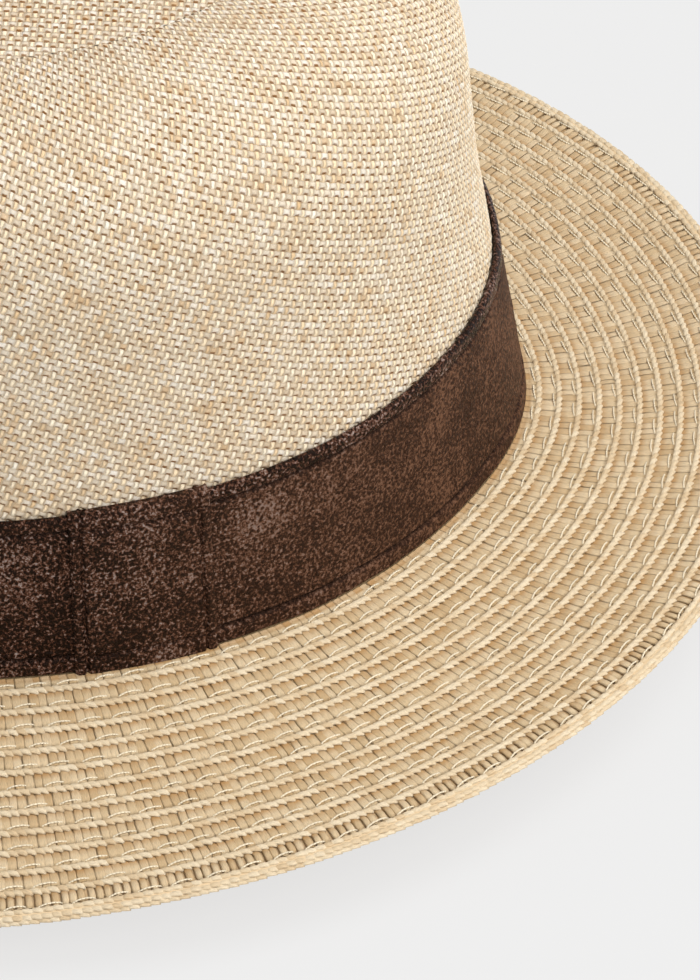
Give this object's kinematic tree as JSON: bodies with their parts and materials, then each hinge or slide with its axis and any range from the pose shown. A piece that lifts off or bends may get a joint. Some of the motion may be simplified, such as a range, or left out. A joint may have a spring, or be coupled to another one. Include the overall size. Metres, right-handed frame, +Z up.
{
  "type": "panama hat",
  "caption": "Panama hat with a creased woven crown, a sewn braid brim, a leather band with a keeper loop and a sweatband inside.",
  "frame": {"origin": "middle of the head opening, level with the fold between crown and brim", "axes": "+Z up through the crown, -Y towards the front of the hat, +X towards the wearer's left"},
  "size_m": [0.277, 0.3086, 0.1386],
  "materials": {
    "crown_cloth": "matt woven paper yarn",
    "brim_braid": "matt sewn paper braid",
    "band_leather": "crackled faux leather, half gloss",
    "inner_ribbon": "matt twill ribbon",
    "clear_plastic": "plain extruded plastic",
    "label_cloth": "satin woven label, blank"
  },
  "bodies": {
    "root": {"crown_shell": "crown_cloth", "brim_braid": "brim_braid", "brim_edge_fold": "brim_braid", "brim_edge_wire": "clear_plastic", "hat_band": "band_leather", "band_keeper": "band_leather", "seam_tape": "inner_ribbon", "sweatband": "inner_ribbon", "sweatband_reed": "clear_plastic", "size_label": "label_cloth"}
  },
  "joints": []
}
